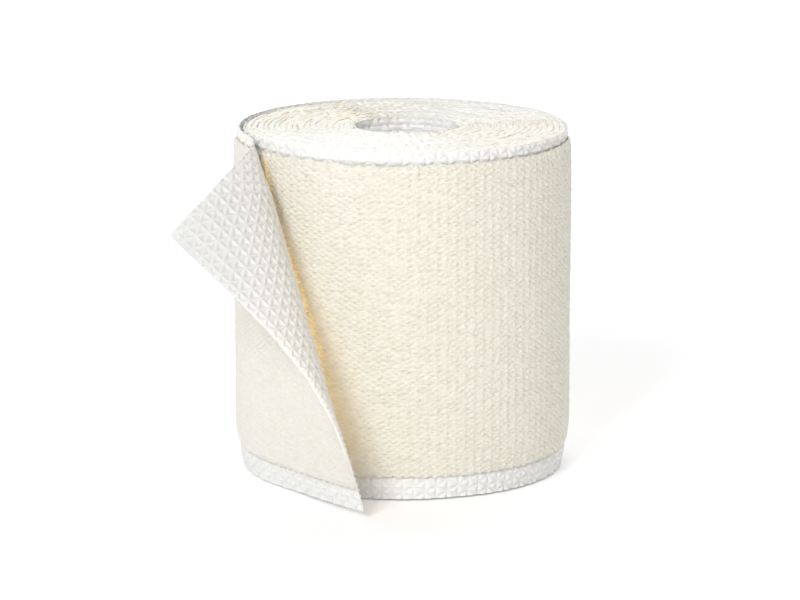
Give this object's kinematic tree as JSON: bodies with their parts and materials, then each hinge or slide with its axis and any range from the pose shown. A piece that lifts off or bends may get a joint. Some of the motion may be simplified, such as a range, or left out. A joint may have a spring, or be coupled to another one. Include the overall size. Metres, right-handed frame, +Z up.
{
  "type": "elastic adhesive bandage roll",
  "caption": "Roll of cream elastic adhesive bandage cloth on a wider white embossed release film, standing on end, with the loose end led off and its top corner curled outwards.",
  "frame": {"origin": "centre of the plan, on the surface that the roll stands on", "axes": "+Z up along the roll's axis, -Y towards the front, where the loose end curls out at the left, +X to the right"},
  "size_m": [0.0954, 0.1, 0.0835],
  "materials": {
    "crepe_cloth": "cream elastic crepe weave, dull",
    "release_film": "white embossed film, half matt"
  },
  "bodies": {
    "root": {"cloth_roll": "crepe_cloth", "film_roll": "release_film", "cloth_end": "crepe_cloth", "film_end": "release_film"}
  },
  "joints": []
}
